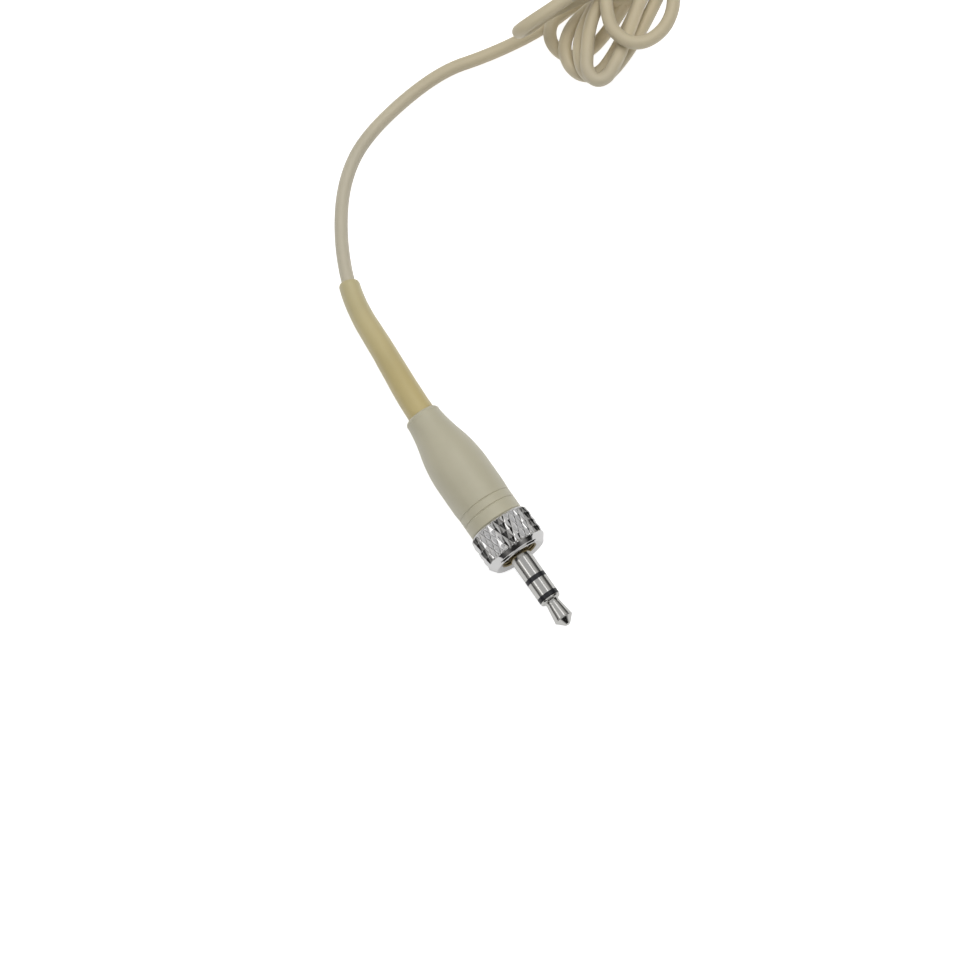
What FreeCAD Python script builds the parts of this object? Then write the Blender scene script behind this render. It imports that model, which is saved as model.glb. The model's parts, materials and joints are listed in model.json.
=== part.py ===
"""A beige neckband headset microphone with its cable and a locking 3.5 mm jack plug, in millimetres.

Frame: +Z up, the wearer faces -Y, and the origin is under the middle of the headset, on the surface it stands on.
The headset stands on its two ear blocks and its neckband adjuster. The cable leaves the right ear block, is folded
into a hank, and ends in the plug, which lies in front of the headset.
"""
import FreeCAD
import Part
import math
import os

V = FreeCAD.Vector
Rotation = FreeCAD.Rotation
Placement = FreeCAD.Placement
X_AXIS, Y_AXIS, Z_AXIS = V(1, 0, 0), V(0, 1, 0), V(0, 0, 1)

# Plug. Its own axis runs along +X to the tip, from the front face of the lock ring.
PLUG_FRONT = V(-3.4, -194.4, 5.2)
PLUG_TURN = -56.0
CONTACT_R = 1.75
TIP_END = 12.68
SHOULDER_X = 7.5
TIP_GAP_X = 6.8
RING_X = 4.2
SLEEVE_X = 3.42
RING_OD_R = 5.2
RING_BACK = -6.75
MOUTH_X = -0.8
THREAD_R = 2.95
INSERT_R = 3.15
INSERT_BACK = -3.45
NECK_R = 2.2
FLANGE_R = 2.8
BOOT_FRONT = -6.85
BOOT_BACK = -28.4
BOOT_R = 4.7
BOOT_HOLE_R = 2.4
COLLAR_R = 3.6
COLLAR_BACK = -10.0

# Cable
CABLE_R = 1.1
CABLE_START = -18.0
SHRINK_START = -23.0
SHRINK_LENGTH = 31.8
SHRINK_R_WIDE = 2.4
SHRINK_R_NARROW = 1.75
CABLE_EXIT_Z = 3.9
LEAD_POINTS = [
    (-25.5, -159.4, 3.7),
    (-30.7, -150.5, 2.4),
    (-32.8, -139.9, 1.5),
    (-32.4, -129.1, 1.1),
    (-28.5, -120.6, 1.1),
    (-17.2, -109.9, 1.1),
    (-8.3, -106.7, 1.1),
    (1.2, -101.6, 1.1),
    (9.0, -94.6, 1.1),
]
TAIL_POINTS = [
    (-66.0, 36.0, CABLE_EXIT_Z),
    (-65.0, 46.5, 1.1),
    (-57.0, 55.0, 1.1),
    (-43.0, 55.0, 1.1),
    (-31.0, 44.0, 1.1),
    (-29.0, 24.0, 1.1),
    (-21.0, 4.0, 1.1),
    (-3.0, -12.0, 1.1),
    (10.0, -28.0, 1.1),
    (17.0, -47.0, 1.1),
    (23.0, -64.0, 1.1),
]
HANK_NEAR = V(10.5, -105.5, 0)
HANK_FAR = V(27.5, -64.0, 0)
HANK_END_R = 10.0
HANK_WAIST_HALF = 7.0
HANK_TOP = 18.0

# Headset
EAR_X = 66.0
BLOCK_HALF_X = 6.0
BLOCK_Y = (2.0, 24.0)
BLOCK_TOP = 16.0
CAVITY = ((17.0, 21.0), (1.2, 6.7))
HINGE_Y = 6.6
SLOT_Z = (5.2, 10.8)
SLOT_BACK_Y = 10.7
EYE_R = 3.6
PIN_R = 1.0
BOOM_Y = 14.0
BOOM_Z = 8.0
HUB_R = 6.3
HUB_T = 3.6
HUB_GAP = 0.2
AXLE_R = 1.5
AXLE_BORE_R = 0.7
AXLE_DEPTH = 9.0
WIRE_R = 0.8
SLEEVE_R = 1.7
HOOK_R = 1.9
BAND_Z = 11.0
BAND_TILT = 6.25
BAND_REAR_Y = 84.0
BAND_BEND_R = 44.0
WIRE_OFFSET = 1.9
ADJUSTER_HALF_X = 13.0
BOOM_R = 1.4
BOOM_BORE_R = 0.8
CAPSULE_R = 2.5
CAPSULE_LEN = 9.0
FOAM_R = 5.2


def turned(*steps):
    """A solid turned about +X. A step is (x, r), or ("arc", middle, end) for a round stretch."""
    edges = []
    here = steps[0]
    for step in steps[1:] + (steps[0],):
        end = step[2] if step[0] == "arc" else step
        if step[0] == "arc":
            edges.append(Part.Arc(V(*here, 0), V(*step[1], 0), V(*end, 0)).toShape())
        elif here != end:
            edges.append(Part.makeLine(V(*here, 0), V(*end, 0)))
        here = end
    solid = Part.Face(Part.Wire(edges)).revolve(V(0, 0, 0), X_AXIS, 360)
    return solid if solid.Volume > 0 else solid.reversed()


def dome(x, r, end):
    """The last stretch of a turned profile: part of a ball from (x, r) to the axis at end."""
    ball = ((end - x) ** 2 + r ** 2) / (2 * (end - x))
    half = math.atan2(r, x - end + ball) / 2
    return "arc", (end - ball + ball * math.cos(half), ball * math.sin(half)), (end, 0.0)


def ring(x0, x1, inner, outer):
    """A plain washer or tube about +X."""
    return turned((x0, inner), (x0, outer), (x1, outer), (x1, inner))


def rod(start, end, radius):
    """A round rod between two points."""
    start, end = V(*start), V(*end)
    return Part.makeCylinder(radius, (end - start).Length, start, end - start)


def box(x, y, z):
    """A box given as three (low, high) pairs."""
    return Part.makeBox(x[1] - x[0], y[1] - y[0], z[1] - z[0], V(x[0], y[0], z[0]))


def route(points, name=None):
    """Straight runs joined by tangent arcs, each as large as its two runs allow."""
    points = [V(*p) for p in points]
    edges, radii = [], []
    start = points[0]
    for before, corner, after in zip(points, points[1:], points[2:]):
        towards, away = (corner - before).normalize(), (after - corner).normalize()
        turn = towards.getAngle(away)
        cut = 0.45 * min((corner - before).Length, (after - corner).Length)
        radii.append(cut / math.tan(turn / 2))
        enter, leave = corner - towards * cut, corner + away * cut
        middle = corner + (away - towards).normalize() * radii[-1] * (1 / math.cos(turn / 2) - 1)
        edges.append(Part.makeLine(start, enter))
        edges.append(Part.Arc(enter, middle, leave).toShape())
        start = leave
    edges.append(Part.makeLine(start, points[-1]))
    if name:
        print(name, "radii", [round(r, 1) for r in radii], "length", round(sum(e.Length for e in edges), 1))
    return Part.Wire(edges)


def circle_at(wire, radius, at_end=False):
    """A circle across a route's start or end."""
    edge = wire.Edges[-1] if at_end else wire.Edges[0]
    place = edge.LastParameter if at_end else edge.FirstParameter
    point = edge.valueAt(place)
    return Part.Wire([Part.Circle(point, edge.tangentAt(place), radius).toShape()])


def pipe(wire, radius):
    """A solid round tube along a route, whose volume is compared with its section times its length."""
    tube = wire.makePipeShell([circle_at(wire, radius)], True, False)
    expected = math.pi * radius ** 2 * wire.Length
    if abs(tube.Volume / expected - 1) > 0.01:
        print("a tube's volume is", tube.Volume, "and not", expected)
    return tube


def placed(shape):
    """A plug piece, carried from the plug's own axis to where the plug lies."""
    moved = shape.copy()
    moved.Placement = Placement(PLUG_FRONT, Rotation(Z_AXIS, PLUG_TURN))
    return moved


def plug_point(x, y=0.0, z=0.0):
    """A point on the plug, in the row frame."""
    return Placement(PLUG_FRONT, Rotation(Z_AXIS, PLUG_TURN)).multVec(V(x, y, z))


# ---------------------------------------------------------------- plug


def make_tip():
    """Tip contact: a shoulder, a waist, the bulb and its cone, on the centre rod that runs back to a terminal."""
    return turned(
        (-14.0, 0.0), (-14.0, 0.5), (SHOULDER_X, 0.5), (SHOULDER_X, 1.6),
        ("arc", (SHOULDER_X + 0.26, 1.7), (SHOULDER_X + 0.5, 1.5)), (SHOULDER_X + 0.6, 1.2),
        ("arc", (8.35, 1.13), (8.8, 1.18)), (11.3, 1.53), ("arc", (11.44, 1.57), (11.52, 1.49)),
        (12.5, 0.52), dome(12.5, 0.52, TIP_END),
    )


def insulated(x0, x1, inner, tube_outer, tube_back):
    """A flush ring of the jack with the thin tube that runs back inside the next one."""
    return turned(
        (tube_back, inner), (tube_back, tube_outer), (x0, tube_outer),
        (x0, CONTACT_R), (x1, CONTACT_R), (x1, inner),
    )


def make_plug_sleeve():
    """Sleeve contact, with the flange and neck that hold the lock ring, and the threaded collar for the boot."""
    flange_back, flange_front, boss_front, boss_r = -3.3, -2.6, -1.3, 2.05
    return turned(
        (COLLAR_BACK, 1.35), (COLLAR_BACK, COLLAR_R), (BOOT_FRONT, COLLAR_R), (BOOT_FRONT, NECK_R),
        (flange_back, NECK_R), (flange_back, FLANGE_R), (flange_front, FLANGE_R),
        (flange_front, boss_r), (boss_front, boss_r), (boss_front, CONTACT_R),
        (SLEEVE_X, CONTACT_R), (SLEEVE_X, 1.35),
    )


def make_lock_ring():
    """Lock ring with a cone and a rounded rim in front, a dished face, and a small bore behind for the neck."""
    return turned(
        (RING_BACK, NECK_R + 0.1), (RING_BACK, 4.8), (-6.35, RING_OD_R), (-1.65, RING_OD_R),
        (-0.9, 4.63), (-0.85, 4.54), ("arc", (-0.57, 4.42), (-0.5, 4.2)), (MOUTH_X, INSERT_R),
        (INSERT_BACK, INSERT_R), (INSERT_BACK, NECK_R + 0.1),
    )


def make_thread_insert():
    """Brass bush with the lock ring's internal thread, pressed into its mouth."""
    pitch, depth = 0.5, 0.12
    bush = turned(
        (INSERT_BACK, THREAD_R), (INSERT_BACK, INSERT_R), (MOUTH_X, INSERT_R), (MOUTH_X - 0.15, THREAD_R),
    )
    for turn in range(5):
        x = MOUTH_X - 0.45 - turn * pitch
        groove = turned((x - 0.2, THREAD_R - 0.05), (x, THREAD_R + depth), (x + 0.2, THREAD_R - 0.05))
        bush = bush.cut(groove)
    return bush


def make_spring_washer():
    """Brass washer in front of the flange, with three notches in its rim."""
    washer = ring(-2.55, -2.3, 2.1, FLANGE_R)
    for turn in range(3):
        notch = box((-3, -2), (-0.45, 0.45), (2.5, 3.2))
        notch.rotate(V(0, 0, 0), X_AXIS, 40 + 120 * turn)
        washer = washer.cut(notch)
    return washer


def make_boot():
    """Screw-on plug cover: straight in front with two fine grooves, then tapering to a round lip."""
    groove_depth, groove_half = 0.13, 0.13
    front_groove, back_groove = -9.05, -10.5
    cavity_back = -20.5
    grooves = []
    for x in (back_groove, front_groove):
        grooves += [(x - groove_half, 4.6), (x, 4.6 - groove_depth), (x + groove_half, 4.6)]
    outer = [
        (BOOT_BACK, BOOT_HOLE_R), (BOOT_BACK, 2.65), ("arc", (-28.22, 2.87), (-27.7, 2.95)),
        ("arc", (-25.0, 3.34), (-22.6, 3.92)), ("arc", (-19.6, 4.5), (-16.0, BOOT_R)), (-12.0, BOOT_R),
    ]
    inner = [
        (BOOT_FRONT, 4.45), (BOOT_FRONT, COLLAR_R + 0.05), (COLLAR_BACK - 0.2, COLLAR_R + 0.05),
        (COLLAR_BACK - 0.2, 3.4), (cavity_back, 3.2), (-21.8, BOOT_HOLE_R),
    ]
    return turned(*outer, *grooves, (BOOT_FRONT - 0.15, 4.6), *inner)


def make_terminals():
    """The plug's inner pieces behind the collar, by node name."""
    ring_tab = box((-15.2, -10.9), (-1.75, -1.45), (-0.7, 0.7))
    tip_tab = box((-16.4, -12.9), (1.15, 1.45), (-0.7, 0.7))
    lug_strip = ring(-20.3, COLLAR_BACK, 2.75, 3.05).common(box((-21, -9), (-1.6, 1.6), (-4, 0)))
    crimp = ring(-20.3, -18.7, CABLE_R, CABLE_R + 0.35).cut(box((-21, -18), (-0.5, 0.5), (0, 3)))
    web = box((-20.3, -19.9), (-0.8, 0.8), (-2.9, -1.3))
    return {
        "terminal_washer": ring(-10.5, COLLAR_BACK, 1.1, 2.7),
        "ring_terminal": ring(-10.9, -10.6, 1.1, 2.2).fuse(ring_tab).cut(ring(-16, -10, 0, 1.1)),
        "tip_terminal": ring(-12.9, -12.6, 0.5, 1.35).fuse(tip_tab).cut(ring(-17, -12, 0, 0.5)),
        "ground_lug": lug_strip.fuse([crimp, web]).cut(ring(-21, -18, 0, CABLE_R)),
    }


def make_plug_wires():
    """Three cores from the cable's end to the terminals, by node name."""
    start = CABLE_START + 0.2
    return {
        "signal_wire": rod((start, 0.5, 0.2), (-16.0, 2.25, 0.2), 0.3),
        "bias_wire": rod((start, -0.5, 0.2), (-14.9, -2.35, 0.2), 0.3),
        "shield_wire": rod((start, 0.0, -0.55), (-15.0, 0.0, -2.4), 0.3),
    }


def make_plug():
    """Every plug piece by node name, in the row frame."""
    pieces = {
        "plug_tip": make_tip(),
        "tip_insulator": insulated(TIP_GAP_X, SHOULDER_X, 0.5, 0.8, -12.3),
        "ring_contact": insulated(RING_X, TIP_GAP_X, 0.8, 1.1, -11.4),
        "ring_insulator": insulated(SLEEVE_X, RING_X, 1.1, 1.35, COLLAR_BACK),
        "plug_sleeve": make_plug_sleeve(),
        "lock_ring": make_lock_ring(),
        "thread_insert": make_thread_insert(),
        "spring_washer": make_spring_washer(),
        "plug_boot": make_boot(),
    }
    pieces.update(make_terminals())
    pieces.update(make_plug_wires())
    return {name: placed(shape) for name, shape in pieces.items()}


# ---------------------------------------------------------------- cable


def first_part(wire, length):
    """The first stretch of a wire, of the given length."""
    edges = []
    for edge in wire.Edges:
        if edge.Length < length:
            edges.append(edge)
            length -= edge.Length
        else:
            end = edge.getParameterByLength(length)
            edges.append(edge.Curve.toShape(edge.FirstParameter, end))
            return Part.Wire(edges)


def make_cable():
    """The cable's two free runs, the sleeve shrunk on it at the plug, and the plain solid of the hank."""
    along = (HANK_FAR - HANK_NEAR).normalize()
    across = V(-along.y, along.x, 0) * HANK_WAIST_HALF
    corners = [HANK_NEAR + across, HANK_FAR + across, HANK_FAR - across, HANK_NEAR - across]
    waist = Part.Face(Part.makePolygon(corners + corners[:1])).extrude(V(0, 0, HANK_TOP))
    ends = [Part.makeCylinder(HANK_END_R, HANK_TOP, end) for end in (HANK_NEAR, HANK_FAR)]
    hank = waist.fuse(ends).removeSplitter()

    lead_route = route([plug_point(CABLE_START), plug_point(-29.5)] + LEAD_POINTS, "lead")
    tail_start = (-EAR_X, BLOCK_Y[1] - 3.0, CABLE_EXIT_Z)
    tail_route = route([tail_start] + TAIL_POINTS, "tail")
    lead = pipe(lead_route, CABLE_R)
    tail = pipe(tail_route, CABLE_R)

    shrink_path = first_part(lead_route, CABLE_START - SHRINK_START + SHRINK_LENGTH)
    wide = circle_at(shrink_path, SHRINK_R_WIDE)
    narrow = circle_at(shrink_path, SHRINK_R_NARROW, at_end=True)
    shrink = shrink_path.makePipeShell([wide, narrow], True, False)
    shrink = shrink.cut([lead, placed(rod((SHRINK_START, 0, 0), (0, 0, 0), 5))])
    return {"cord_lead": lead.cut(hank), "cord_tail": tail.cut(hank), "heat_shrink": shrink, "cord_hank": hank}


# ---------------------------------------------------------------- headset


def cover_screws(side):
    """The two countersunk screws that hold an ear block's halves together."""
    screws = []
    for y, z in ((20.8, 13.4), (12.5, 2.6)):
        screw = turned((0, 0), (0, 1.1), (0.5, 1.1), (1.1, 0.55), (9.0, 0.55), (9.2, 0))
        screw.Placement = Placement(V(side * (EAR_X - BLOCK_HALF_X), y, z), Rotation(X_AXIS, V(side, 0, 0)))
        screws.append(screw)
    return screws


def make_block(side):
    """Ear block in two halves that meet on the hinge pin's plane, with a slot in front for the hook's hinge."""
    x = side * EAR_X
    body = box((x - BLOCK_HALF_X, x + BLOCK_HALF_X), BLOCK_Y, (0, BLOCK_TOP))
    upright = [e for e in body.Edges if abs(e.tangentAt(e.FirstParameter).z) > 0.9]
    body = body.makeFillet(3.2, upright)
    body = body.makeFillet(1.2, [e for e in body.Edges if e.BoundBox.ZLength < 0.01])
    axle_end = side * (EAR_X + BLOCK_HALF_X - AXLE_DEPTH)
    cuts = cover_screws(side) + [
        box((x - 8, x + 8), (BLOCK_Y[0] - 1, SLOT_BACK_Y), SLOT_Z),
        box((x - 3.4, x + 3.4), *CAVITY),
        rod((x, HINGE_Y, 1.5), (x, HINGE_Y, BLOCK_TOP + 1), PIN_R),
        rod((axle_end, BOOM_Y, BOOM_Z), (side * 80, BOOM_Y, BOOM_Z), AXLE_R),
        rod((x, 17.0, BAND_Z), (x, BLOCK_Y[1] + 1, BAND_Z), WIRE_R),
    ]
    if side < 0:
        cuts.append(rod((x, 20.0, CABLE_EXIT_Z), (x, BLOCK_Y[1] + 1, CABLE_EXIT_Z), 1.75))
        cuts.append(rod((axle_end, BOOM_Y, BOOM_Z), (axle_end, 18.0, 5.0), AXLE_BORE_R))
    body = body.cut(cuts)
    outer_half = box(sorted((x, x + side * 10)), (0, 30), (-1, 20))
    return body.common(outer_half), body.cut(outer_half)


def make_hook(side):
    """Ear hook: the hinge knuckle, its spring wire and the soft sleeve over the wire."""
    x = side * EAR_X
    wire_points = [
        (x, 3.4, 8.0), (x, -5.0, 8.0), (x, -1.6, 30.0), (x, -5.0, 52.0),
        (x, -24.0, 58.5), (x, -38.5, 46.0), (x, -38.5, 33.0),
    ]
    wire = pipe(route(wire_points, "hook"), WIRE_R)
    sleeve_points = [(x, 0.8, 8.0)] + wire_points[1:-1] + [(x, -38.5, 31.5)]
    sleeve = pipe(route(sleeve_points), HOOK_R)
    end_ball = Part.makeSphere(2.4, V(x, -38.5, 31.5))
    sleeve = sleeve.fuse(end_ball).removeSplitter().cut(wire)
    eye = Part.makeCylinder(EYE_R, SLOT_Z[1] - SLOT_Z[0] - 0.4, V(x, HINGE_Y, SLOT_Z[0] + 0.2))
    arm = rod((x, HINGE_Y, 8.0), (x, 0.8, 8.0), 2.3)
    pin_hole = rod((x, HINGE_Y, 0), (x, HINGE_Y, 20), PIN_R + 0.05)
    knuckle = eye.fuse(arm).removeSplitter().cut([pin_hole, wire])
    return knuckle, wire, sleeve


def make_hinge_pin(side):
    """Hinge pin of an ear hook, with a low head on top of the block."""
    pin = turned((0, 0), (0, PIN_R), (14.5, PIN_R), (14.5, 1.6), dome(14.5, 1.6, 15.1))
    pin.Placement = Placement(V(side * EAR_X, HINGE_Y, 1.5), Rotation(X_AXIS, Z_AXIS))
    return pin


def band_tilted(shape):
    """The neckband is drawn level at the blocks' height, then tilted down to the adjuster."""
    tilted = shape.copy()
    tilted.rotate(V(0, BLOCK_Y[1], BAND_Z), X_AXIS, -BAND_TILT)
    return tilted


def band_route(side, start_y, end_x):
    """A neckband half: straight back from the block, round the corner, and in to the adjuster."""
    rear_y = BAND_REAR_Y + side * WIRE_OFFSET
    x = side * EAR_X
    corner = V(x - side * BAND_BEND_R, rear_y - BAND_BEND_R, BAND_Z)
    middle = corner + V(side * BAND_BEND_R * math.sin(math.pi / 4), BAND_BEND_R * math.sin(math.pi / 4), 0)
    arc_start, arc_end = V(x, corner.y, BAND_Z), V(corner.x, rear_y, BAND_Z)
    return Part.Wire([
        Part.makeLine(V(x, start_y, BAND_Z), arc_start),
        Part.Arc(arc_start, middle, arc_end).toShape(),
        Part.makeLine(arc_end, V(end_x, rear_y, BAND_Z)),
    ])


def make_band(side):
    """Neckband half: a spring wire from inside the block to inside the adjuster, in a soft sleeve."""
    wire = band_tilted(pipe(band_route(side, BLOCK_Y[1], -side * 9.0), WIRE_R))
    end_gap = 0.3
    sleeve_route = band_route(side, BLOCK_Y[1] + 0.3, side * (ADJUSTER_HALF_X + end_gap))
    sleeve = band_tilted(pipe(sleeve_route, SLEEVE_R)).cut(wire)
    x = side * EAR_X
    anchor = rod((x, 17.0, BAND_Z), (x, BLOCK_Y[1], BAND_Z), WIRE_R)
    return wire.fuse(anchor), sleeve


def make_adjuster():
    """Adjuster: two shells with the wires' channels between them, a leaf spring on the sliding wire, two screws."""
    half_y, low, high = 5.4, 3.99, 3.1
    body = box(
        (-ADJUSTER_HALF_X, ADJUSTER_HALF_X), (BAND_REAR_Y - half_y, BAND_REAR_Y + half_y),
        (BAND_Z - low, BAND_Z + high),
    )
    upright = [e for e in body.Edges if abs(e.tangentAt(e.FirstParameter).z) > 0.9]
    body = body.makeFillet(2.6, upright)
    body = body.makeFillet(0.9, [e for e in body.Edges if e.BoundBox.ZLength < 0.01])
    reach = ADJUSTER_HALF_X + 1
    sliding_y, fixed_y = BAND_REAR_Y + WIRE_OFFSET, BAND_REAR_Y - WIRE_OFFSET
    sliding = rod((-reach, sliding_y, BAND_Z), (reach, sliding_y, BAND_Z), WIRE_R + 0.06)
    fixed = rod((9.0, fixed_y, BAND_Z), (-reach, fixed_y, BAND_Z), WIRE_R)
    spring_room = box((-4.0, 4.0), (sliding_y - 0.9, sliding_y + 0.9), (BAND_Z, BAND_Z + 1.5))
    spring = box((-3.8, 3.8), (sliding_y - 0.8, sliding_y + 0.8), (BAND_Z + 0.95, BAND_Z + 1.4))
    screws = []
    for x in (-10.0, 10.0):
        screw = turned((0, 0), (0, 0.95), (0.4, 0.95), (0.8, 0.5), (5.2, 0.5), (5.4, 0))
        screw.Placement = Placement(V(x, BAND_REAR_Y, BAND_Z + high), Rotation(X_AXIS, V(0, 0, -1)))
        screws.append(screw)
    body = body.cut([sliding, fixed, spring_room] + screws)
    upper = box((-20, 20), (70, 100), (BAND_Z, BAND_Z + 10))
    return {
        "adjuster_top": band_tilted(body.common(upper)),
        "adjuster_base": band_tilted(body.cut(upper)),
        "adjuster_spring": band_tilted(spring),
        "adjuster_screws": band_tilted(Part.makeCompound(screws)),
    }


def make_boom():
    """Boom: a hub that turns on the right block, the bent tube, and the microphone capsule at its end."""
    face_x = -EAR_X - BLOCK_HALF_X - HUB_GAP
    hub_x = face_x - HUB_T / 2
    disc = turned(
        (0, 0), (0, HUB_R), (HUB_T - 0.8, HUB_R), ("arc", (HUB_T - 0.25, HUB_R - 0.25), (HUB_T, HUB_R - 0.8)), (HUB_T, 0),
    )
    disc.Placement = Placement(V(face_x, BOOM_Y, BOOM_Z), Rotation(X_AXIS, V(-1, 0, 0)))
    socket = rod((hub_x, BOOM_Y, BOOM_Z), (hub_x, 2.0, BOOM_Z), 1.8)
    tube_points = [
        (hub_x, 6.5, BOOM_Z), (hub_x, -40.0, BOOM_Z), (hub_x + 5.0, -59.0, BOOM_Z), (-56.0, -76.0, BOOM_Z),
    ]
    tube_route = route(tube_points, "boom")
    lead = pipe(tube_route, BOOM_BORE_R - 0.05)
    tube = pipe(tube_route, BOOM_R).cut(pipe(tube_route, BOOM_BORE_R))
    axle_hole = rod((face_x + 1, BOOM_Y, BOOM_Z), (face_x - HUB_T - 1, BOOM_Y, BOOM_Z), AXLE_R + 0.05)
    head_seat = rod((face_x - HUB_T + 0.9, BOOM_Y, BOOM_Z), (face_x - HUB_T - 1, BOOM_Y, BOOM_Z), 3.05)
    hub = disc.fuse(socket).removeSplitter().cut([axle_hole, head_seat, pipe(tube_route, BOOM_R)])

    shank = AXLE_DEPTH + HUB_GAP + HUB_T - 0.9
    bore = AXLE_BORE_R
    axle = turned((0, bore), (0, AXLE_R), (shank, AXLE_R), (shank, 2.95), (shank + 0.7, 2.95), (shank + 0.7, 0),
                  (shank - 1.5, 0), (shank - 1.5, bore))
    axle.Placement = Placement(V(face_x + HUB_GAP + AXLE_DEPTH, BOOM_Y, BOOM_Z), Rotation(X_AXIS, V(-1, 0, 0)))

    end, direction = V(*tube_points[-1]), V(*tube_points[-1]) - V(*tube_points[-2])
    at_tip = Placement(end, Rotation(X_AXIS, direction))
    shapes = {
        "capsule_housing": turned(
            (-2.0, BOOM_R), (-2.0, 1.9), ("arc", (-1.2, 2.3), (0.0, CAPSULE_R)), (CAPSULE_LEN, CAPSULE_R),
            (CAPSULE_LEN, CAPSULE_R - 0.4), (0.6, CAPSULE_R - 0.4), (0.6, BOOM_R - 0.5), (0.0, BOOM_R - 0.5),
            (0.0, BOOM_R),
        ),
        "capsule_grommet": ring(2.0, 3.0, 0.7, CAPSULE_R - 0.4),
        "capsule_board": turned((3.2, 0), (3.2, 1.9), (3.7, 1.9), (3.7, 0)),
        "capsule_element": turned((3.8, 0), (3.8, 2.0), (8.2, 2.0), (8.3, 1.9), (8.3, 0)),
        "capsule_grille": turned(
            (8.5, 0), (8.5, CAPSULE_R - 0.4), (CAPSULE_LEN, CAPSULE_R - 0.4), (CAPSULE_LEN, CAPSULE_R),
            dome(CAPSULE_LEN, CAPSULE_R, 10.3),
        ),
        "windscreen": turned(
            (3.4, CAPSULE_R + 0.05), (3.4, 3.6), ("arc", (6.2, FOAM_R - 0.2), (10.2, FOAM_R)),
            dome(10.2, FOAM_R, 15.6), (10.8, 0), (10.8, CAPSULE_R + 0.05),
        ),
    }
    pieces = {"boom_hub": hub, "boom_tube": tube, "boom_lead": lead, "boom_axle": axle}
    for name, shape in shapes.items():
        shape.Placement = at_tip
        pieces[name] = shape
    print("boom end", tuple(end), "direction", tuple(direction.normalize()))
    return pieces


def make_socket_cap():
    """Blank cap in the left block's socket, where the boom fits when it is worn on the other side."""
    cap = turned(
        (-8.0, 0), (-8.0, AXLE_R), (0, AXLE_R), (0, HUB_R), (HUB_T - 0.8, HUB_R),
        ("arc", (HUB_T - 0.25, HUB_R - 0.25), (HUB_T, HUB_R - 0.8)), (HUB_T, 2.4), (HUB_T - 0.5, 1.9), (HUB_T - 0.5, 0),
    )
    cap.Placement = Placement(V(EAR_X + BLOCK_HALF_X, BOOM_Y, BOOM_Z), Rotation())
    return cap.translated(V(HUB_GAP, 0, 0))


def make_strain_relief():
    """Tapered strain relief where the cable leaves the right block, with shallow flex grooves."""
    start, end, steps = 20.0, 31.0, 5
    profile = [(start, CABLE_R), (start, 2.6), (CAVITY[0][1], 2.6), (CAVITY[0][1], 1.7), (BLOCK_Y[1], 1.7)]
    pitch = (end - BLOCK_Y[1]) / steps
    for step in range(steps):
        x = BLOCK_Y[1] + step * pitch
        radius = 2.3 - step * 0.14
        profile += [(x, radius), (x + 0.7 * pitch, radius - 0.08), (x + 0.7 * pitch, 1.4), (x + pitch, 1.4)]
    relief = turned(*profile, (end, CABLE_R))
    relief.Placement = Placement(V(-EAR_X, 0, CABLE_EXIT_Z), Rotation(X_AXIS, Y_AXIS))
    return relief


def make_headset():
    """Every headset piece by node name."""
    pieces = {}
    for name, side in (("right", -1), ("left", 1)):
        pieces[f"{name}_block_shell"], pieces[f"{name}_block_cover"] = make_block(side)
        pieces[f"{name}_cover_screws"] = Part.makeCompound(cover_screws(side))
        pieces[f"{name}_hook_knuckle"], pieces[f"{name}_hook_wire"], pieces[f"{name}_hook_sleeve"] = make_hook(side)
        pieces[f"{name}_hinge_pin"] = make_hinge_pin(side)
        pieces[f"{name}_band_wire"], pieces[f"{name}_band_sleeve"] = make_band(side)
    pieces.update(make_adjuster())
    pieces.update(make_boom())
    pieces["socket_cap"] = make_socket_cap()
    pieces["strain_relief"] = make_strain_relief()
    return pieces


def main():
    os.makedirs("parts", exist_ok=True)
    for name, shape in {**make_plug(), **make_cable(), **make_headset()}.items():
        if not shape.isValid() or not shape.Solids:
            print("problem with", name, shape.isValid(), len(shape.Solids))
        shape.exportStep(f"parts/{name}.step")


main()
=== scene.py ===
import bpy
import bmesh
import json
import math
from mathutils import Matrix, Vector, noise


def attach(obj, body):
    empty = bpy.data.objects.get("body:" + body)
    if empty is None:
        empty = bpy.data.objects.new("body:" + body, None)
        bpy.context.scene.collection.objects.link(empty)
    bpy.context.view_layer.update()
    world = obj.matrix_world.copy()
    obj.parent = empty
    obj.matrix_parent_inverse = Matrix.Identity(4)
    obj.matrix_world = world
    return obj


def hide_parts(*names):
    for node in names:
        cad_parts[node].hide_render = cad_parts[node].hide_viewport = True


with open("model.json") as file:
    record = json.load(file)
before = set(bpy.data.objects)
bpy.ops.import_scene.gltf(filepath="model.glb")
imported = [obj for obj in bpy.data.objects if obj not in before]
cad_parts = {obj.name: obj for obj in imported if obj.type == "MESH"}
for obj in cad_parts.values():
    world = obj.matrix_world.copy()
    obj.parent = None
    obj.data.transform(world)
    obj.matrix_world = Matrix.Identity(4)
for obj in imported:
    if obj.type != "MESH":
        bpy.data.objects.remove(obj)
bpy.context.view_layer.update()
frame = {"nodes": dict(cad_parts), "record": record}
NODES = frame["nodes"]
SCENE = bpy.context.scene
MM = 0.001

# ---------------------------------------------------------------- sizes and places, in millimetres

PLUG_FRONT = Vector((-3.4, -194.4, 5.2))
PLUG_TURN = math.radians(-56.0)
PLUG = Matrix.Translation(PLUG_FRONT) @ Matrix.Rotation(PLUG_TURN, 4, "Z")
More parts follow.
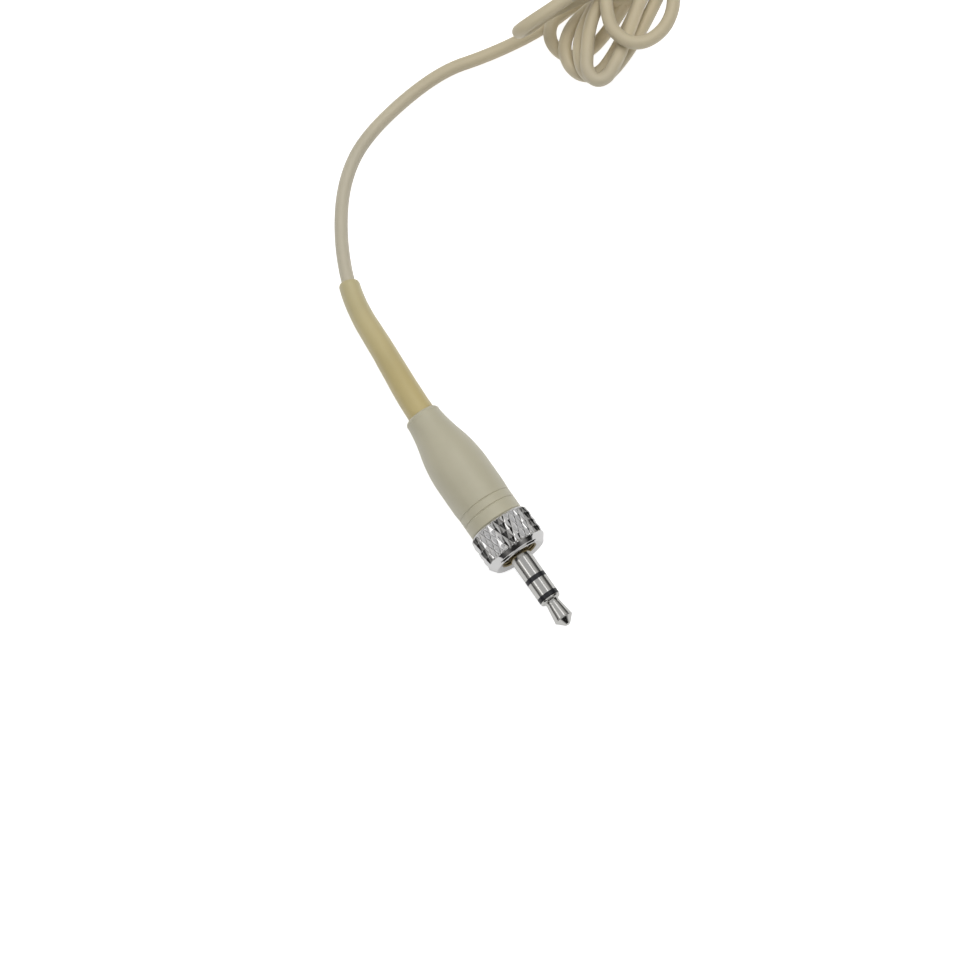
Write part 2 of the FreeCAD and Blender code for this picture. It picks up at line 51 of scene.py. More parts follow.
# the cable, whose end lies inside the cover, and the sleeve shrunk over it
CABLE_R = 1.1
CABLE_START = -18.0
COVER_ENTRY = -29.5
SHRINK_START = -23.0
SHRINK_LENGTH = 31.8
SHRINK_WIDE = 2.4
SHRINK_NARROW = 1.72
SHRINK_SIDES = 40
SHRINK_WOBBLE = 0.05
SHRINK_WOBBLE_R = 1.5
SHRINK_WOBBLE_SCALE = 330
SHRINK_LIP = 0.14
SHRINK_LIP_START = 0.985
SHRINK_GAP = 0.02
SHRINK_SHARP = 50

# the lock ring, measured forward along the plug's axis; points are (along, radius)
RING_BACK = -6.75
RING_R = 5.2
RING_CHAMFER = 0.4
CONE_END = -0.9
CONE_SLOPE = 0.76
RIM = [(-0.85, 4.54), (-0.72, 4.51), (-0.57, 4.42), (-0.51, 4.31), (-0.5, 4.2)]
BUSH_FRONT = -0.8
BUSH_BACK = -3.45
BUSH_SPACE_R = 3.17
RING_BORE_R = 2.3
# where its knurl ends and how it runs out there
KNURL_END = -1.65
KNURL_RUN_PAST = 0.1
KNURL_RUN_OUT = 0.3
# the knurl's diamonds: how many round the ring, their mesh columns, length, depth and share that isn't flat on top,
# the columns along which the mesh is cut the other way, and the angle in degrees from which an edge is sharp
KNURLS = 31
KNURL_STEPS = 16
KNURL_PITCH = 2.65
KNURL_DEPTH = 0.245
KNURL_FLAT = 0.875
KNURL_EDGES = (0, 7, 9)
KNURL_SHARP = 8

# the foam windscreen, measured along the boom from its end
BOOM_END = Vector((-56.0, -76.0, 8.0))
BOOM_WAY = Vector((0.60745, -0.794358, 0))
FOAM_WIDEST = 10.2
FOAM_REAR = 6.8
FOAM_NOSE = 5.3
FOAM_REAR_R = 3.6
FOAM_R = 5.15
FOAM_BACK = 3.4
FOAM_FRONT = 15.5
FOAM_BORE_END = 10.8
FOAM_BORE_R = 2.56
FOAM_MIDDLE = 9.0
FOAM_REAR_ROWS = 60
FOAM_NOSE_ROWS = 50
FOAM_SIDES = 150
# the radius of the smallest ring at a mesh's pole
POLE_R = 0.02
# the foam's pits, as pits per metre and depth
PITS = ((1700, 0.32), (900, 0.12))

# ---------------------------------------------------------------- the cable's route, in millimetres

# from the plug to the hank
LEAD = [
    (-25.5, -159.4, 3.7),
    (-30.7, -150.5, 2.4),
    (-32.8, -139.9, 1.5),
    (-32.4, -129.1, 1.1),
    (-28.5, -120.6, 1.1),
    (-17.2, -109.9, 1.1),
    (-8.3, -106.7, 1.1),
    (1.2, -101.6, 1.1),
    (9.0, -94.6, 1.1),
]
# from the ear block to the hank
TAIL = [
    (-66.0, 21.0, 3.9),
    (-66.0, 36.0, 3.9),
    (-65.0, 46.5, 1.1),
    (-57.0, 55.0, 1.1),
    (-43.0, 55.0, 1.1),
    (-31.0, 44.0, 1.1),
    (-29.0, 24.0, 1.1),
    (-21.0, 4.0, 1.1),
    (-3.0, -12.0, 1.1),
    (10.0, -28.0, 1.1),
    (17.0, -47.0, 1.1),
    (23.0, -64.0, 1.1),
]
HANK_NEAR = Vector((10.5, -105.5, 0))
HANK_ALONG = Vector((17.0, 41.5, 0)).normalized()
HANK_LEFT = Vector((-HANK_ALONG.y, HANK_ALONG.x, 0))
WAIST = 25.0

# The near folds of the hank, from its top turn down to its bottom turn, each from its left limb to its right.
FOLD_F = [
    (7.0, -101.0, 15.0), (4.8, -102.6, 15.2), (2.1, -104.7, 15.2), (0.6, -105.7, 15.0),
    (-1.2, -106.8, 14.6), (-3.0, -107.8, 13.9), (-3.9, -107.8, 12.2), (-3.3, -106.8, 10.3),
    (-1.7, -105.5, 9.6), (-0.1, -104.1, 9.7), (1.6, -103.1, 10.0), (3.6, -102.2, 10.4),
    (5.7, -101.4, 10.9), (8.0, -100.6, 11.3),
]
FOLD_E = [
    (10.5, -101.3, 12.0), (10.6, -103.8, 12.0), (11.2, -106.8, 12.0), (13.0, -108.9, 12.0),
    (15.3, -109.8, 12.0), (17.7, -109.1, 12.0), (20.0, -107.0, 12.0), (21.3, -104.1, 12.0),
    (21.6, -101.3, 12.0),
]
FOLD_D = [
    (9.9, -100.7, 10.0), (8.4, -103.9, 10.0), (7.6, -107.5, 10.0), (7.4, -110.6, 9.8), (7.3, -113.3, 9.7),
    (8.7, -115.4, 9.7), (10.6, -114.8, 9.7), (11.8, -112.6, 9.7), (12.9, -110.2, 9.7), (14.5, -105.9, 9.7),
    (16.4, -100.5, 9.7),
]
FOLD_C = [
    (9.7, -99.8, 7.6), (7.6, -103.1, 7.6), (6.4, -106.5, 7.6), (6.1, -109.8, 7.6), (6.9, -112.8, 7.6),
    (9.1, -114.3, 7.5), (11.4, -112.8, 7.4), (13.4, -110.2, 7.4), (15.1, -107.5, 7.4), (16.7, -104.6, 7.4),
    (19.2, -99.4, 7.4),
]
FOLD_B = [
    (10.5, -98.8, 5.5), (8.2, -100.2, 5.5), (5.8, -102.6, 5.5), (4.3, -105.1, 5.5), (3.8, -108.0, 5.5),
    (4.7, -110.9, 5.5), (6.9, -112.6, 5.4), (9.6, -112.0, 5.3), (11.7, -109.1, 5.3), (13.9, -104.8, 5.3),
    (16.6, -98.7, 5.3),
]
FOLD_A = [
    (7.9, -97.9, 3.6), (4.5, -99.4, 3.4), (1.9, -101.5, 3.3), (1.4, -104.6, 3.3), (2.7, -107.0, 3.3),
    (5.2, -108.3, 3.3), (8.2, -107.0, 3.3), (10.8, -103.9, 3.3), (13.3, -99.9, 3.3),
]
FOLD_G = [
    (12.8, -94.6, 3.3), (11.5, -96.5, 3.3), (11.7, -98.3, 3.3), (13.5, -98.9, 3.3), (15.4, -98.3, 3.3),
    (17.0, -96.5, 3.3), (17.6, -94.6, 3.3),
]
# Each turn: its left limb at the waist, its near fold, its right limb, and its far fold. A limb is its distance
# left of the middle and its height, and a far fold is its reach, its half width and its height.
TURNS = [
    (None, FOLD_F, (1.1, 7.2), (44.5, 3.4, 10.4)),
    ((3.3, 7.2), FOLD_E, (-1.1, 7.2), (47.0, 4.6, 9.0)),
    ((0.0, 5.2), FOLD_D, (-2.2, 5.2), (45.5, 3.9, 7.8)),
    ((2.2, 5.2), FOLD_C, (-4.4, 5.2), (47.5, 5.0, 6.6)),
    ((4.4, 5.2), FOLD_B, (-5.5, 3.3), (45.0, 5.6, 5.4)),
    ((1.1, 3.3), FOLD_A, (-1.1, 3.3), (48.0, 3.6, 3.3)),
    ((3.3, 3.3), FOLD_G, (-3.3, 3.3), (44.0, 4.8, 3.3)),
]
LAST_LIMB = (5.5, 3.3)
# a far fold's shape, as distances along from its reach and shares of its half width
FAR_SHAPE = [
    (-8.0, -0.95), (-2.5, -1.05), (0.5, -1.0), (3.2, -0.6), (4.3, 0.0), (3.2, 0.6), (0.5, 1.0), (-2.5, 1.05),
    (-8.0, 0.95),
]
# the wraps round the waist: one turn's points as (left of the middle, height), where they start and their pitch
WRAP_RING = [
    (-6.8, 1.5), (-8.2, 3.6), (-8.0, 6.4), (-5.4, 8.6), (-2.0, 9.6), (2.0, 9.6), (5.4, 8.6), (8.0, 6.4),
    (8.2, 3.6), (6.8, 1.5), (3.0, 1.1), (-3.0, 1.1),
]
WRAP_POINTS = 27
WRAP_START = 33.4
WRAP_PITCH = 2.3


def hank_point(along, left, height):
    """A point of the hank from its distance along, its distance left of the middle, and its height."""
    point = HANK_NEAR + HANK_ALONG * along + HANK_LEFT * left
    return point.x, point.y, height


def wraps():
    """The two turns round the hank's waist, from below at the far side to above on the right."""
    points = [hank_point(37.5, 1.5, 1.1), hank_point(34.8, -3.5, 1.1)]
    for step in range(WRAP_POINTS):
        left, height = WRAP_RING[step % len(WRAP_RING)]
        points.append(hank_point(WRAP_START - WRAP_PITCH * step / len(WRAP_RING), left, height))
    points += [hank_point(25.5, -6.6, 10.0), hank_point(19.0, -3.4, 12.6), hank_point(11.5, 1.4, 14.2)]
    return points


def far_fold(reach, half, height):
    """The far end of a turn, from its right limb round to its left limb."""
    return [hank_point(reach + along, side * half, height) for along, side in FAR_SHAPE]


def eased(points, long_span=10.0, reach=4.5):
    """Adds a point near each end of every long span, so that the cable leaves and enters a fold gently."""
    points = [Vector(p) for p in points]
    result = [points[0]]
    for before, start, end, after in zip(points, points[1:], points[2:], points[3:]):
        result.append(start)
        way = end - start
        if way.length > long_span:
            way = way.normalized()
            result.append(start + ((start - before).normalized() + way).normalized() * reach)
            result.append(end - ((after - end).normalized() + way).normalized() * reach)
    return result + points[-2:]


def cable_route():
    """The whole cable's control points from the ear block to the plug, in metres."""
    turns = []
    for left, near, right, far in TURNS:
        if left:
            turns.append(hank_point(WAIST, *left))
        turns += near
        turns.append(hank_point(WAIST, *right))
        turns += far_fold(*far)
    turns.append(hank_point(WAIST, *LAST_LIMB))
    points = TAIL + wraps() + eased(turns) + list(reversed(LEAD))
    points += [PLUG @ Vector((COVER_ENTRY, 0, 0)), PLUG @ Vector((CABLE_START, 0, 0))]
    return [Vector(p) * MM for p in points]


# ---------------------------------------------------------------- materials

# noise scales in features per metre, and depths in metres
CLOUD_SCALE = 140
GLOSS_SCALE = 420
GLOSS_SPREAD = 0.06
GRAIN_DEPTH = 0.00004
POLISH_SCALE = 1500
POLISH_SPREAD = (0.6, 1.5)
MARK_SCALE = 9000
MARK_STRENGTH = 0.08
MARK_DEPTH = 0.000005


def set_stops(ramp, stops):
    """Gives a colour ramp node its stops, each a position and a colour."""
    elements = ramp.color_ramp.elements
    elements[0].position = stops[0][0]
    elements[1].position = stops[-1][0]
    for position, _ in stops[1:-1]:
        elements.new(position)
    for element, (_, colour) in zip(elements, stops):
        element.color = (*colour, 1)


class Shader:
    """A material with a Principled shader and a short way to add nodes to it."""

    def __init__(self, name, colour, roughness, **settings):
        self.material = bpy.data.materials.new(name)
        self.material.use_nodes = True
        self.nodes = self.material.node_tree.nodes
        self.main = self.nodes["Principled BSDF"]
        self.main.inputs["Base Color"].default_value = (*colour, 1)
        self.main.inputs["Roughness"].default_value = roughness
        for key, value in settings.items():
            self.main.inputs[key.replace("_", " ")].default_value = value

    def add(self, kind, **settings):
        node = self.nodes.new(kind)
        for key, value in settings.items():
            if hasattr(node, key):
                setattr(node, key, value)
            else:
                node.inputs[key.replace("_", " ")].default_value = value
        return node

    def link(self, source, target):
        self.material.node_tree.links.new(source, target)

    def place(self):
        """Object coordinates, which for every piece are metres in the row frame."""
        return self.add("ShaderNodeTexCoord").outputs["Object"]

    def noise(self, scale, detail=3.0):
        texture = self.add("ShaderNodeTexNoise", Scale=scale, Detail=detail, Roughness=0.55)
        self.link(self.place(), texture.inputs["Vector"])
        return texture.outputs["Fac"]

    def ramp(self, value, stops):
        ramp = self.add("ShaderNodeValToRGB")
        set_stops(ramp, stops)
        self.link(value, ramp.inputs["Fac"])
        return ramp.outputs["Color"]

    def bump(self, height, strength, distance):
        bump = self.add("ShaderNodeBump", Strength=strength, Distance=distance)
        self.link(height, bump.inputs["Height"])
        self.link(bump.outputs["Normal"], self.main.inputs["Normal"])

    def uneven_gloss(self, scale, detail, least, most):
        gloss = self.add("ShaderNodeMapRange", To_Min=least, To_Max=most)
        self.link(self.noise(scale, detail), gloss.inputs["Value"])
        self.link(gloss.outputs["Result"], self.main.inputs["Roughness"])


def shade(colour, factor):
    return tuple(c * factor for c in colour)


def faded(shader, tint, colour, toward, fade):
    """The tint, changed from one colour to another between two places along Y."""
    split = shader.add("ShaderNodeSeparateXYZ")
    shader.link(shader.place(), split.inputs["Vector"])
    along = shader.add("ShaderNodeMapRange", From_Min=fade[0], From_Max=fade[1])
    shader.link(split.outputs["Y"], along.inputs["Value"])
    ratio = tuple(b / a for a, b in zip(colour, toward))
    change = shader.ramp(along.outputs["Result"], [(0.0, (1, 1, 1)), (1.0, ratio)])
    mixed = shader.add("ShaderNodeVectorMath", operation="MULTIPLY")
    shader.link(tint, mixed.inputs[0])
    shader.link(change, mixed.inputs[1])
    return mixed.outputs["Vector"]


def moulded(
    name, colour, roughness, grain=2600, strength=0.12, spread=0.05, toward=None, fade=None, **settings
):
    """A moulded or soft surface: cloudy colour that may fade along Y, uneven gloss and a fine grain."""
    shader = Shader(name, colour, roughness, **settings)
    cloud = shader.noise(CLOUD_SCALE, detail=4)
    tint = shader.ramp(cloud, [(0.25, shade(colour, 1 - spread)), (0.75, shade(colour, 1 + spread))])
    if toward:
        tint = faded(shader, tint, colour, toward, fade)
    shader.link(tint, shader.main.inputs["Base Color"])
    shader.uneven_gloss(GLOSS_SCALE, 3, roughness - GLOSS_SPREAD, roughness + GLOSS_SPREAD)
    shader.bump(shader.noise(grain, detail=2), strength, GRAIN_DEPTH)
    return shader.material


def metal(name, colour, roughness):
    """A plated or turned metal with fine marks and a slightly uneven polish."""
    shader = Shader(name, colour, roughness, Metallic=1.0)
    least, most = POLISH_SPREAD
    shader.uneven_gloss(POLISH_SCALE, 4, roughness * least, roughness * most)
    shader.bump(shader.noise(MARK_SCALE, detail=1), MARK_STRENGTH, MARK_DEPTH)
    return shader.material


CABLE_COLOUR = (0.530, 0.485, 0.372)
# painted shade: the cable in the hank is tinted browner and yellower for the warm shade between its strands
HANK_SHADE_COLOUR = (0.550, 0.478, 0.325)
BOOT_COLOUR = (0.492, 0.463, 0.343)
SHRINK_COLOUR = (0.515, 0.425, 0.195)
SHRINK_END_COLOUR = (0.530, 0.465, 0.262)
# where each changes to its second colour, as Y in metres; the cable's second colour is painted shade in the hank
HANK_SHADE_FADE = (-0.125, -0.108)
SHRINK_FADE = (-0.165, -0.148)

MATERIALS = {
    # the jacket changes along Y to the hank's browner colour, which is painted shade
    "cable_jacket": moulded(
        "cable jacket", CABLE_COLOUR, 0.48, grain=1900, strength=0.1, toward=HANK_SHADE_COLOUR, fade=HANK_SHADE_FADE,
        Sheen_Weight=0.25,
    ),
    "boot_plastic": moulded(
        "cover plastic", BOOT_COLOUR, 0.40, grain=2400, strength=0.05, Sheen_Weight=0.25
    ),
    "heat_shrink": moulded(
        "shrunk sleeve", SHRINK_COLOUR, 0.38, grain=1500, toward=SHRINK_END_COLOUR, fade=SHRINK_FADE,
        Sheen_Weight=0.35,
    ),
    "housing_plastic": moulded("housing plastic", (0.50, 0.43, 0.31), 0.55, grain=3200, strength=0.25),
    "silicone": moulded("silicone", (0.53, 0.46, 0.34), 0.5, grain=1200, strength=0.05),
    "foam": moulded("foam", (0.52, 0.44, 0.31), 0.9, grain=2400, strength=0.9, spread=0.12),
    "boom_paint": moulded("boom paint", (0.50, 0.43, 0.31), 0.42, grain=5200, strength=0.06),
    "insulator": moulded("insulator", (0.012, 0.013, 0.016), 0.28, grain=3000, strength=0.03),
    "core_insulation": moulded("core insulation", (0.45, 0.05, 0.04), 0.4),
    "board": moulded("board", (0.02, 0.13, 0.05), 0.35),
    "contact_metal": metal("contact plate", (0.68, 0.675, 0.65), 0.15),
    "ring_chrome": metal("ring chrome", (0.80, 0.795, 0.79), 0.10),
    "brass": metal("brass", (0.33, 0.27, 0.15), 0.30),
    "shield_copper": metal("copper", (0.75, 0.42, 0.28), 0.3),
    "steel": metal("steel", (0.60, 0.59, 0.57), 0.22),
    "capsule_can": metal("aluminium can", (0.75, 0.75, 0.73), 0.3),
}


def finish_nodes():
    """Every CAD node that shows gets its slot's material."""
    slots = {part["node"]: part["material_slot"] for part in frame["record"]["subparts"]}
    for name, node in NODES.items():
        node.data.materials.clear()
        node.data.materials.append(MATERIALS[slots[name]])


# ---------------------------------------------------------------- meshes


def add_piece(name, data, slot, body, *nodes):
    """Adds a piece that rides on a body, in its slot's material, and stands for CAD nodes."""
    piece = bpy.data.objects.new(name, data)
    SCENE.collection.objects.link(piece)
    piece.data.materials.append(MATERIALS[slot])
    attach(piece, body)
    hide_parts(*nodes)
    return piece


def mesh_of_rings(name, rings, creased=0):
    """A closed smooth mesh through rings of points, in metres. Creased rows are cut along the knurl's edges."""
    mesh = bmesh.new()
    rows = [[mesh.verts.new(p) for p in ring] for ring in rings]
    for k, (first, second) in enumerate(zip(rows, rows[1:] + rows[:1])):
        count = len(first)
        for i in range(count):
            a, b = first[i], first[(i + 1) % count]
            c, d = second[(i + 1) % count], second[i]
            if k >= creased:
                mesh.faces.new((a, b, c, d))
            elif (i + k + 1) % KNURL_STEPS in KNURL_EDGES:
                mesh.faces.new((a, b, d))
                mesh.faces.new((b, c, d))
            else:
                mesh.faces.new((a, b, c))
                mesh.faces.new((a, c, d))
    bmesh.ops.recalc_face_normals(mesh, faces=mesh.faces)
    data = bpy.data.meshes.new(name)
    mesh.to_mesh(data)
    mesh.free()
    data.shade_smooth()
    return data


def turned_rings(rings, place):
    """Rings of (along, radius) pairs about the X axis of a placing matrix, as rings of points in metres."""
    placed = []
    for ring in rings:
        points = []
        for i, (x, radius) in enumerate(ring):
            angle = 2 * math.pi * i / len(ring)
            points.append(place @ Vector((x, radius * math.cos(angle), radius * math.sin(angle))) * MM)
        placed.append(points)
    return placed


def knurled_radius(x, column, row):
    """The radius at a point of the lock ring's knurl, cut back by the chamfer behind and the cone in front."""
    valleys = [abs((column + sign * row) / KNURL_STEPS % 1.0 - 0.5) * 2 for sign in (1, -1)]
    height = min(1 - max(valleys), KNURL_FLAT) / KNURL_FLAT
    limit = min(RING_R - RING_CHAMFER + (x - RING_BACK), RING_R - CONE_SLOPE * (x - KNURL_END))
    run_out = min(1.0, max(0.0, (KNURL_END + KNURL_RUN_PAST - x) / KNURL_RUN_OUT))
    return min(limit, RING_R - KNURL_DEPTH * (1 - height) * run_out)


def knurled_ring():
    """The lock ring: a diamond knurl behind a smooth cone, a rounded rim and a dished mouth."""
    count = KNURLS * KNURL_STEPS
    step = KNURL_PITCH / KNURL_STEPS
    rows = int((CONE_END - RING_BACK) / step) + 1
    lengths = [RING_BACK + step * k for k in range(rows)] + [CONE_END]
    inside = [
        (BUSH_FRONT, BUSH_SPACE_R), (BUSH_BACK, BUSH_SPACE_R), (BUSH_BACK, RING_BORE_R), (RING_BACK, RING_BORE_R),
    ]
    rings = [[(x, knurled_radius(x, i, k)) for i in range(count)] for k, x in enumerate(lengths)]
    rings += [[point] * count for point in RIM + inside]
    data = mesh_of_rings("lock_ring_knurled", turned_rings(rings, PLUG), creased=len(lengths) - 1)
    data.set_sharp_from_angle(angle=math.radians(KNURL_SHARP))
    add_piece("lock_ring_knurled", data, "ring_chrome", "lock_ring", "lock_ring")


def foam_skin():
    """The windscreen's outer profile from its back edge to just short of its nose."""
    skin = []
    for k in range(FOAM_REAR_ROWS + 1):
        bend = math.pi / 2 * k / FOAM_REAR_ROWS
        radius = FOAM_REAR_R + (FOAM_R - FOAM_REAR_R) * math.sin(bend)
        skin.append((FOAM_WIDEST - FOAM_REAR * math.cos(bend), radius))
    for k in range(1, FOAM_NOSE_ROWS):
        bend = math.pi / 2 * k / FOAM_NOSE_ROWS
        skin.append((FOAM_WIDEST + FOAM_NOSE * math.sin(bend), FOAM_R * math.cos(bend)))
    return skin


def foam_windscreen():
    """The foam windscreen: a rounded ball over the capsule, pitted with open cells."""
    turn = BOOM_WAY.to_track_quat("X", "Z").to_matrix().to_4x4()
    place = Matrix.Translation(BOOM_END) @ turn
    skin = foam_skin()
    bore = [
        (FOAM_FRONT, POLE_R), (FOAM_BORE_END, POLE_R), (FOAM_BORE_END, FOAM_BORE_R), (FOAM_BACK, FOAM_BORE_R),
    ]
    rings = turned_rings([[point] * FOAM_SIDES for point in skin + bore], place)
    middle = (BOOM_END + BOOM_WAY * FOAM_MIDDLE) * MM
    for ring in rings[:len(skin)]:
        for i, point in enumerate(ring):
            pit = sum(max(0.0, noise.noise(point * scale)) * depth for scale, depth in PITS)
            ring[i] = point - (point - middle).normalized() * pit * MM
    data = mesh_of_rings("foam_windscreen", rings)
    foam = add_piece("foam_windscreen", data, "foam", "windscreen", "windscreen")


def add_cable():
    """The whole cable on one smooth curve, and the points of its centreline."""
    points = cable_route()
    data = bpy.data.curves.new("cable", "CURVE")
    data.dimensions = "3D"
    spline = data.splines.new("NURBS")
    spline.points.add(len(points) - 1)
    for target, point in zip(spline.points, points):
        target.co = (*point, 1)
    spline.order_u = 3
    spline.use_endpoint_u = True
    spline.resolution_u = 8
    data.bevel_mode = "ROUND"
    data.use_fill_caps = True
    centre = centreline(data)
    data.bevel_depth = CABLE_R * MM
    data.bevel_resolution = 7
    cable = add_piece("cable", data, "cable_jacket", "base", "cord_lead", "cord_tail", "cord_hank")
    return cable, centre


def centreline(data):
    """The points that a curve with no bevel runs through, in metres."""
    bare = bpy.data.objects.new("bare", data)
    SCENE.collection.objects.link(bare)
    mesh = bpy.data.meshes.new_from_object(bare)
    points = [v.co.copy() for v in mesh.vertices]
    bpy.data.meshes.remove(mesh)
    bpy.data.objects.remove(bare)
    return points


def stretch_from_end(centre, start, end, step=0.0003):
    """Evenly spaced points of the cable between two distances from its plug end, each with its direction."""
    line = list(reversed(centre))
    distances = [0.0]
    for a, b in zip(line, line[1:]):
        distances.append(distances[-1] + (b - a).length)
    count = int((end - start) / step)
    found = []
    i = 0
    for k in range(count + 1):
        wanted = start + (end - start) * k / count
        while distances[i + 1] < wanted:
            i += 1
        share = (wanted - distances[i]) / (distances[i + 1] - distances[i])
        found.append((line[i].lerp(line[i + 1], share), (line[i + 1] - line[i]).normalized()))
    return found


def ring_across(point, direction, radius, wobble=0.0):
    """A ring of points square to a direction, whose radius wobbles a little."""
    side = direction.cross(Vector((0, 0, 1))).normalized()
    up = side.cross(direction)
    points = []
    for i in range(SHRINK_SIDES):
        angle = 2 * math.pi * i / SHRINK_SIDES
        way = side * math.cos(angle) + up * math.sin(angle)
        bulge = noise.noise((point + way * SHRINK_WOBBLE_R * MM) * SHRINK_WOBBLE_SCALE) * wobble
        points.append(point + way * (radius + bulge) * MM)
    return points


def shrunk_sleeve(centre):
    """The sleeve shrunk over the cable: wide at the cover, narrow at its other end, and slightly uneven."""
    start = (CABLE_START - SHRINK_START) * MM
    path = stretch_from_end(centre, start, start + SHRINK_LENGTH * MM)
    last = len(path) - 1
    outer = []
    for k, (point, direction) in enumerate(path):
        share = k / last
        lip = max(0.0, (share - SHRINK_LIP_START) / (1 - SHRINK_LIP_START))
        radius = SHRINK_WIDE + (SHRINK_NARROW - SHRINK_WIDE) * share - SHRINK_LIP * lip * lip
        outer.append(ring_across(point, direction, radius, SHRINK_WOBBLE))
    inner = [ring_across(point, direction, CABLE_R + SHRINK_GAP) for point, direction in reversed(path)]
    data = mesh_of_rings("shrunk_sleeve", outer + inner)
    data.set_sharp_from_angle(angle=math.radians(SHRINK_SHARP))
    add_piece("shrunk_sleeve", data, "heat_shrink", "base", "heat_shrink")


# ---------------------------------------------------------------- light, floor and camera

# in metres and watts
STRIPS = (("right strip", (0.058, 0.197, 0.755)), ("left strip", (-0.634, -0.270, 0.571)))
STRIP_LENGTH = 0.43
STRIP_WIDTH = 0.14
STRIP_POWER = 0.195
OVERHEAD_PLACE = (0.05, 0.0, 0.95)
OVERHEAD_TARGET = (0, -0.15, 0)
OVERHEAD_SIZE = 0.9
OVERHEAD_POWER = 5.9
TABLE_SIZE = 6.0
TABLE_PLACE = (0, -0.1, -0.00005)
TABLE_COLOUR = (0.55, 0.55, 0.55)
# how strongly the table glows for each kind of ray that meets it
TABLE_GLOW = (("Is Camera Ray", 0.85), ("Is Diffuse Ray", 0.85), ("Is Glossy Ray", 0.28))
CAMERA_LENS = 107.32
CAMERA_PLACE = Vector((-10.0, -309.31, 436.67)) * MM
CAMERA_TARGET = Vector((-10.0, -181.5, 5.2)) * MM
# The surroundings' grey from level with the table, at 0, to straight overhead, at 1.
WORLD_STOPS = [
    (0.0, (0.5, 0.5, 0.5)), (0.015, (0.10, 0.10, 0.10)), (0.15, (0.11, 0.11, 0.105)),
    (0.3, (0.17, 0.165, 0.16)), (0.5, (0.37, 0.365, 0.355)), (0.6, (0.46, 0.46, 0.45)),
    (0.72, (0.63, 0.62, 0.61)), (0.8, (0.56, 0.56, 0.56)), (0.9, (0.50, 0.50, 0.50)),
    (1.0, (0.49, 0.49, 0.50)),
]
# Dark patches of the surroundings: direction, the angles in degrees to where each is fully dark and to where it
# ends, and the share of light left.
DARK_PATCHES = [
    ((0.54, -0.80, 0.26), 16, 26, 0.06),
    ((0.82, 0.55, 0.14), 26, 32, 0.55),
    ((0.917, 0.196, 0.30), 27, 32, 0.10),
    ((-0.436, -0.837, 0.30), 24, 30, 0.12),
]


def add_area(name, place, target, size, power, size_y=None, along=0.0):
    """A soft lamp that faces a target, with its long side turned along a direction in plan."""
    light = bpy.data.lights.new(name, "AREA")
    light.shape = "RECTANGLE"
    light.size = size
    light.size_y = size_y or size
    light.energy = power
    lamp = bpy.data.objects.new(name, light)
    lamp.location = place
    back = (Vector(place) - Vector(target)).normalized()
    long_side = Vector((math.cos(along), math.sin(along), 0))
    short_side = back.cross(long_side).normalized()
    lamp.rotation_euler = Matrix((short_side.cross(back), short_side, back)).transposed().to_euler()
    SCENE.collection.objects.link(lamp)
    return lamp


def darkened(tree, place, colour, patch):
    """The colour of the surroundings, made darker within a patch of them."""
    way, inner, outer, level = patch
    facing = tree.nodes.new("ShaderNodeVectorMath")
    facing.operation = "DOT_PRODUCT"
    facing.inputs[1].default_value = Vector(way).normalized()
    fade = tree.nodes.new("ShaderNodeMapRange")
    fade.inputs["From Min"].default_value = math.cos(math.radians(outer))
    fade.inputs["From Max"].default_value = math.cos(math.radians(inner))
    fade.inputs["To Min"].default_value = 1.0
    fade.inputs["To Max"].default_value = level
    dim = tree.nodes.new("ShaderNodeVectorMath")
    dim.operation = "SCALE"
    tree.links.new(place, facing.inputs[0])
    tree.links.new(facing.outputs["Value"], fade.inputs["Value"])
    tree.links.new(colour, dim.inputs[0])
    tree.links.new(fade.outputs["Result"], dim.inputs["Scale"])
    return dim.outputs["Vector"]


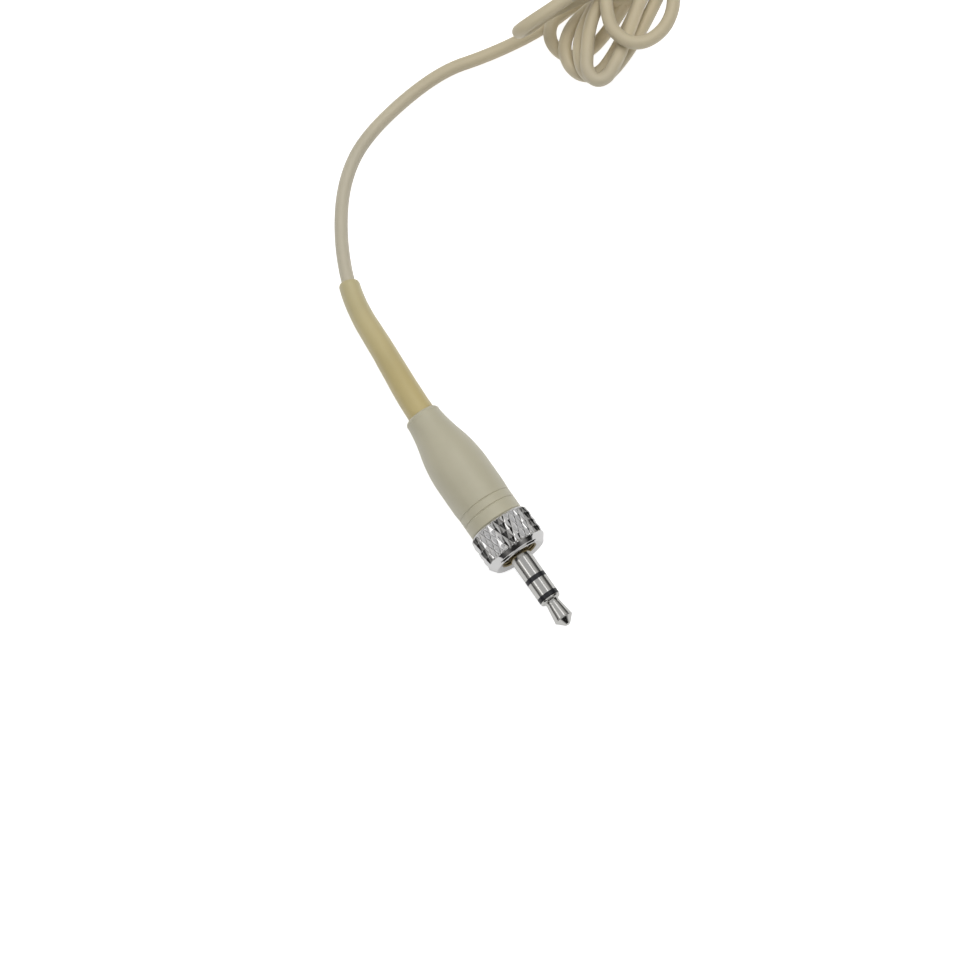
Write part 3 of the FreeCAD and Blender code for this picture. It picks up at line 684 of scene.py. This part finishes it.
def add_world():
    """Soft grey surroundings, darker toward the horizon and in a few patches, for polished metal to reflect."""
    world = bpy.data.worlds.new("studio")
    world.use_nodes = True
    tree = world.node_tree
    place = tree.nodes.new("ShaderNodeTexCoord").outputs["Generated"]
    split = tree.nodes.new("ShaderNodeSeparateXYZ")
    ramp = tree.nodes.new("ShaderNodeValToRGB")
    set_stops(ramp, WORLD_STOPS)
    tree.links.new(place, split.inputs[0])
    tree.links.new(split.outputs["Z"], ramp.inputs["Fac"])
    colour = ramp.outputs["Color"]
    for patch in DARK_PATCHES:
        colour = darkened(tree, place, colour, patch)
    tree.links.new(colour, tree.nodes["Background"].inputs["Color"])
    SCENE.world = world


def add_table():
    """A white table that glows by a different amount for each kind of ray."""
    bpy.ops.mesh.primitive_plane_add(size=TABLE_SIZE, location=TABLE_PLACE)
    table = bpy.context.object
    table.name = "table"
    shader = Shader("table", TABLE_COLOUR, 0.9, Specular_IOR_Level=0.0)
    shader.main.inputs["Emission Color"].default_value = (1, 1, 1, 1)
    path = shader.add("ShaderNodeLightPath")
    glow = None
    for ray, strength in TABLE_GLOW:
        part = shader.add("ShaderNodeMath", operation="MULTIPLY_ADD")
        part.inputs[1].default_value = strength
        part.inputs[2].default_value = 0.0
        shader.link(path.outputs[ray], part.inputs[0])
        if glow:
            shader.link(glow, part.inputs[2])
        glow = part.outputs[0]
    shader.link(glow, shader.main.inputs["Emission Strength"])
    table.data.materials.append(shader.material)


def add_lamps():
    """Two strips for the plug's bright lines, and one wide soft lamp overhead."""
    for name, place in STRIPS:
        strip = add_area(
            name, place, PLUG_FRONT * MM, STRIP_LENGTH, STRIP_POWER, size_y=STRIP_WIDTH, along=PLUG_TURN
        )
        strip.visible_diffuse = False
    overhead = add_area("overhead", OVERHEAD_PLACE, OVERHEAD_TARGET, OVERHEAD_SIZE, OVERHEAD_POWER)
    overhead.visible_glossy = False


def add_camera():
    """The camera above and in front of the plug, looking down at it."""
    lens = bpy.data.cameras.new("camera")
    lens.lens = CAMERA_LENS
    lens.sensor_width = 36
    lens.clip_start = 0.005
    camera = bpy.data.objects.new("camera", lens)
    camera.location = CAMERA_PLACE
    camera.rotation_euler = (CAMERA_TARGET - CAMERA_PLACE).to_track_quat("-Z", "Y").to_euler()
    SCENE.collection.objects.link(camera)
    SCENE.camera = camera
    SCENE.view_settings.view_transform = "Standard"


# ---------------------------------------------------------------- everything together

finish_nodes()
knurled_ring()
foam_windscreen()
cable, centre = add_cable()
shrunk_sleeve(centre)
add_table()
add_world()
add_lamps()
add_camera()
